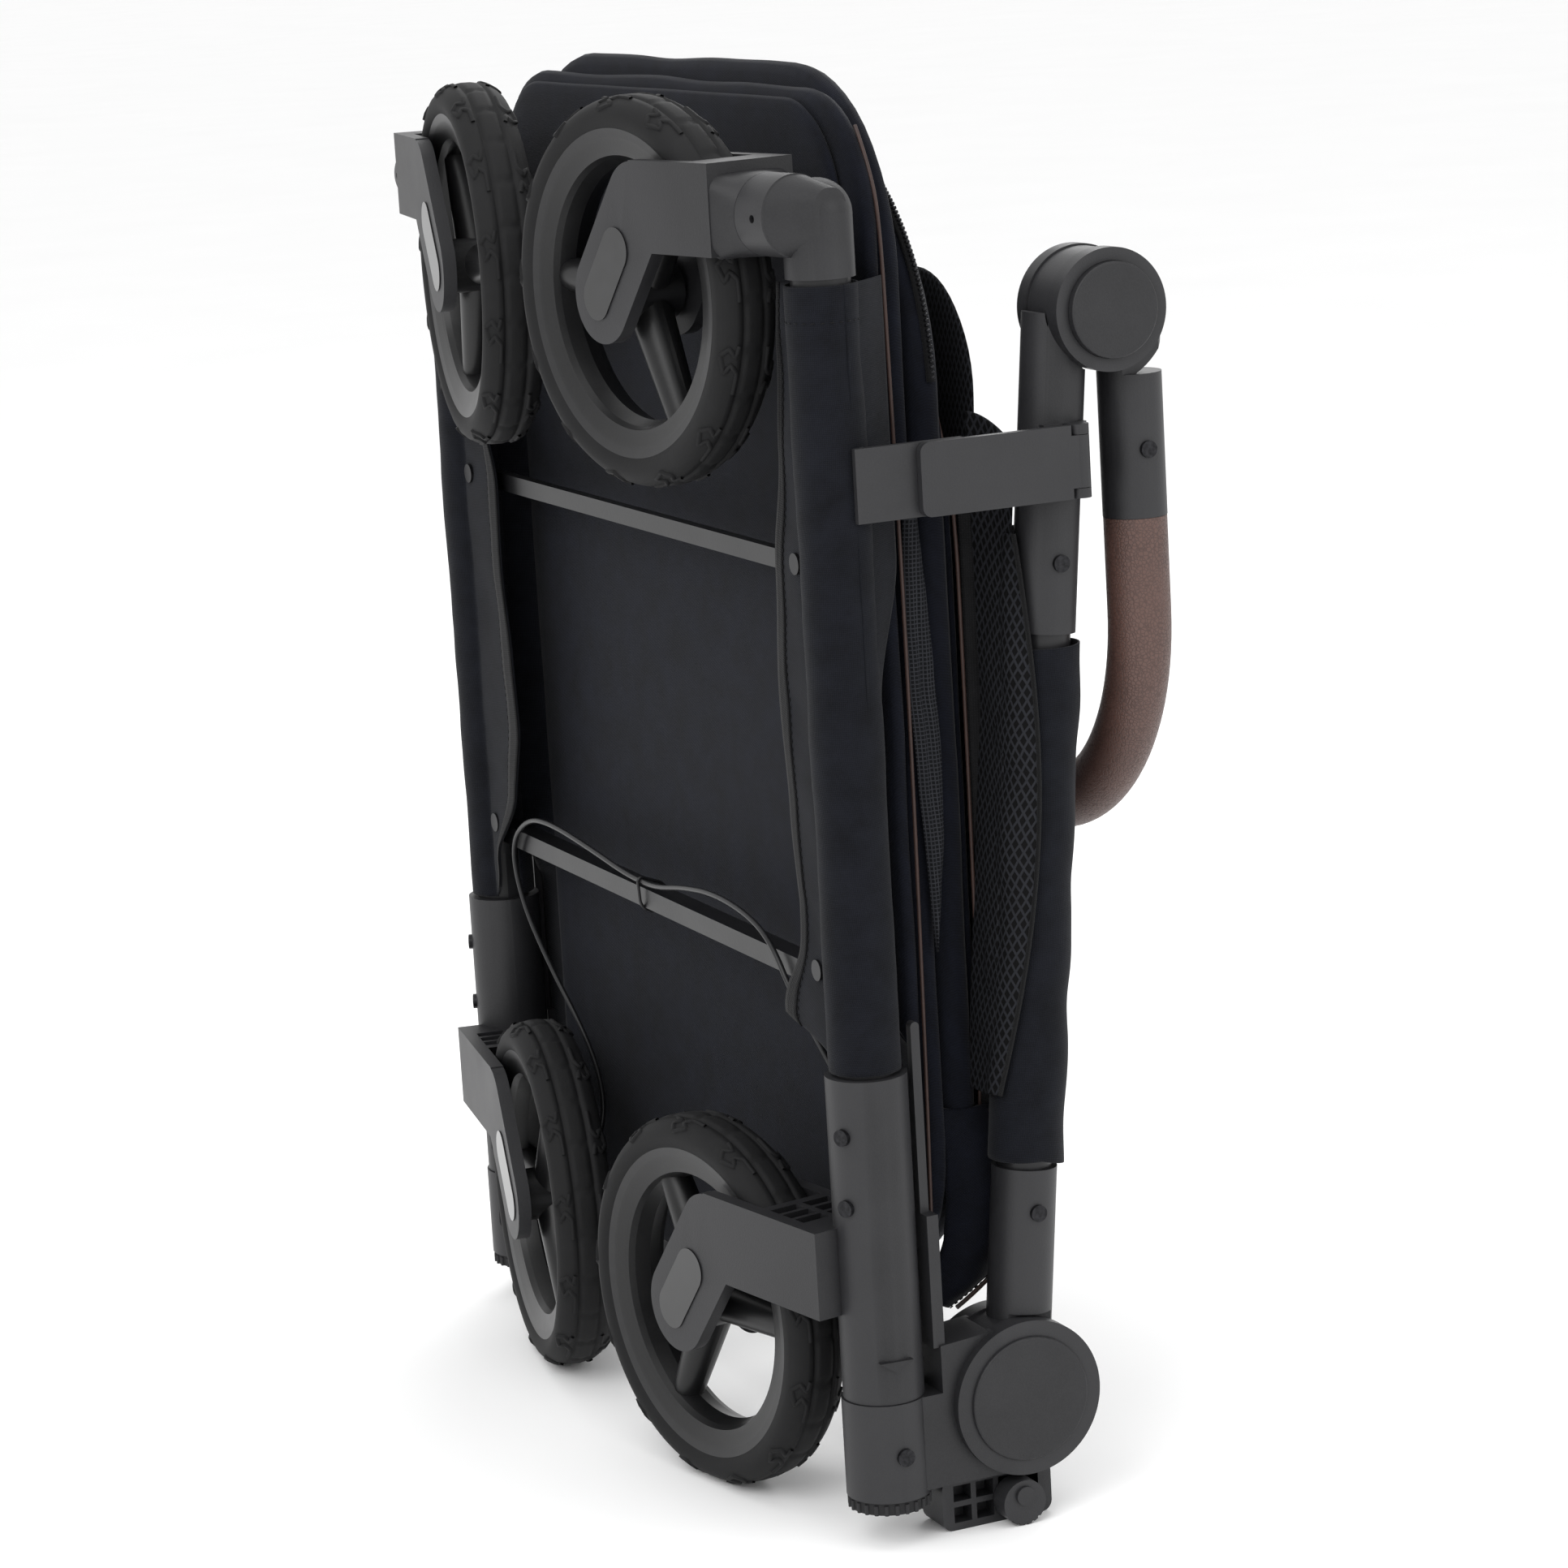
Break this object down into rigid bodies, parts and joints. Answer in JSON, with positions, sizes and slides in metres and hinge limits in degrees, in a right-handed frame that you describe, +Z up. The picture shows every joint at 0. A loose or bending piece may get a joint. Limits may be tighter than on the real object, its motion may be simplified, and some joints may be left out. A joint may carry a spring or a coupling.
{
  "type": "pet stroller",
  "caption": "Folded pet stroller standing on end: splayed wheels, fabric cabin pack between side tubes, side latch, drum hinges and a U-shaped leather push handle.",
  "frame": {"origin": "centre of the bounding box on the surface that the folded stroller stands on", "axes": "+Z up along the side tubes, +X to the stroller's right side, +Y towards the folded push handle"},
  "size_m": [0.5594, 0.2538, 0.748],
  "materials": {
    "moulded_nylon": "glass-filled nylon, fine moulded grain, satin",
    "rim_nylon": "moulded, smooth satin",
    "coated_aluminium": "powder coated, satin black",
    "tyre_rubber": "foamed rubber, dry and slightly dusty",
    "gloss_badge": "polished",
    "steel": "zinc plated",
    "rivet_black": "black oxide, domed",
    "leatherette": "pebbled grain",
    "canvas": "woven canvas",
    "twill": "fine twill",
    "mesh": "knitted spacer mesh",
    "board": "hidden stiffener",
    "rubber": "moulded",
    "cable_sheath": "extruded vinyl"
  },
  "bodies": {
    "chassis": {"end_socket_left": "moulded_nylon", "end_socket_right": "moulded_nylon", "hinge_pins": "steel", "hinge_caps": "moulded_nylon", "socket_caps": "rubber", "socket_rivets": "rivet_black", "stand_feet": "moulded_nylon", "rear_cross_bar": "coated_aluminium", "front_cross_bar": "coated_aluminium", "tube_hems": "canvas", "hem_snaps": "rivet_black", "floor_cover": "twill", "floor_board": "board", "cabin_walls": "twill", "canopy_roll": "twill", "brake_cable": "cable_sheath", "cable_tie": "cable_sheath", "latch_catch": "moulded_nylon"},
    "side_right": {"side_tube_right": "coated_aluminium", "elbow_right": "moulded_nylon", "rear_bracket_right": "moulded_nylon", "bracket_rivets_right": "rivet_black", "rear_axle_right": "steel", "rear_badge_right": "gloss_badge"},
    "caster_right": {"fork_right": "moulded_nylon", "front_axle_right": "steel", "front_badge_right": "gloss_badge"},
    "front_wheel_right": {"front_rim_right": "rim_nylon", "front_tyre_right": "tyre_rubber"},
    "rear_wheel_right": {"rear_rim_right": "rim_nylon", "rear_tyre_right": "tyre_rubber"},
    "button_right": {"hinge_button_right": "moulded_nylon"},
    "side_left": {"side_tube_left": "coated_aluminium", "elbow_left": "moulded_nylon", "rear_bracket_left": "moulded_nylon", "bracket_rivets_left": "rivet_black", "rear_axle_left": "steel", "rear_badge_left": "gloss_badge"},
    "caster_left": {"fork_left": "moulded_nylon", "front_axle_left": "steel", "front_badge_left": "gloss_badge"},
    "front_wheel_left": {"front_rim_left": "rim_nylon", "front_tyre_left": "tyre_rubber"},
    "rear_wheel_left": {"rear_rim_left": "rim_nylon", "rear_tyre_left": "tyre_rubber"},
    "button_left": {"hinge_button_left": "moulded_nylon"},
    "upright": {"upright_knuckles": "moulded_nylon", "upright_tubes": "coated_aluminium", "upright_rivets": "rivet_black", "upper_drum_left": "moulded_nylon", "upper_drum_right": "moulded_nylon", "upright_cover": "canvas", "mesh_pocket": "mesh", "latch_clamp": "moulded_nylon"},
    "latch": {"latch_lever": "moulded_nylon"},
    "handle": {"handle_knuckles": "moulded_nylon", "handle_bar": "coated_aluminium", "grip": "leatherette", "handle_rivets": "rivet_black"},
    "pedal": {"brake_pedal": "moulded_nylon"}
  },
  "joints": [
    {"name": "upright_fold", "type": "hinge", "parent": "chassis", "child": "upright", "pos_m": [0, 0.01425, 0.0677], "axis": [-1, 0, 0], "range_deg": [0, 115]},
    {"name": "handle_fold", "type": "hinge", "parent": "upright", "child": "handle", "pos_m": [0, 0.08965, 0.6207], "axis": [1, 0, 0], "range_deg": [0, 178]},
    {"name": "side_fold_right", "type": "hinge", "parent": "chassis", "child": "side_right", "pos_m": [0.252, -0.05755, 0.3], "axis": [0, 0, 1], "range_deg": [0, 80]},
    {"name": "caster_swivel_right", "type": "hinge", "parent": "side_right", "child": "caster_right", "pos_m": [0.23259, -0.07417, 0.68], "axis": [-0.9848, -0.1736, 0], "range_deg": [-10, 20]},
    {"name": "front_wheel_spin_right", "type": "hinge", "parent": "caster_right", "child": "front_wheel_right", "pos_m": [0.11786, -0.0944, 0.637], "axis": [0.1736, -0.9848, 0], "continuous": true},
    {"name": "rear_wheel_spin_right", "type": "hinge", "parent": "side_right", "child": "rear_wheel_right", "pos_m": [0.11864, -0.0902, 0.1], "axis": [0.1736, -0.9848, 0], "continuous": true},
    {"name": "button_press_right", "type": "slide", "parent": "upright", "child": "button_right", "axis": [-1, 0, 0], "range_m": [0, 0.004], "stiffness_N_per_m": 600, "springref_m": -0.001},
    {"name": "side_fold_left", "type": "hinge", "parent": "chassis", "child": "side_left", "pos_m": [-0.252, -0.05755, 0.3], "axis": [0, 0, -1], "range_deg": [0, 80]},
    {"name": "caster_swivel_left", "type": "hinge", "parent": "side_left", "child": "caster_left", "pos_m": [-0.23259, -0.07417, 0.68], "axis": [-0.9848, 0.1736, 0], "range_deg": [-10, 20]},
    {"name": "front_wheel_spin_left", "type": "hinge", "parent": "caster_left", "child": "front_wheel_left", "pos_m": [-0.11786, -0.0944, 0.637], "axis": [-0.1736, -0.9848, 0], "continuous": true},
    {"name": "rear_wheel_spin_left", "type": "hinge", "parent": "side_left", "child": "rear_wheel_left", "pos_m": [-0.11864, -0.0902, 0.1], "axis": [-0.1736, -0.9848, 0], "continuous": true},
    {"name": "button_press_left", "type": "slide", "parent": "upright", "child": "button_left", "axis": [1, 0, 0], "range_m": [0, 0.004], "stiffness_N_per_m": 600, "springref_m": -0.001},
    {"name": "latch_swing", "type": "hinge", "parent": "upright", "child": "latch", "pos_m": [0.2744, 0.06845, 0.5475], "axis": [0, 0, 1], "range_deg": [0, 100]},
    {"name": "pedal_rock", "type": "hinge", "parent": "chassis", "child": "pedal", "pos_m": [0.2688, 0.00845, 0.0162], "axis": [1, 0, 0], "range_deg": [0, 20]}
  ]
}
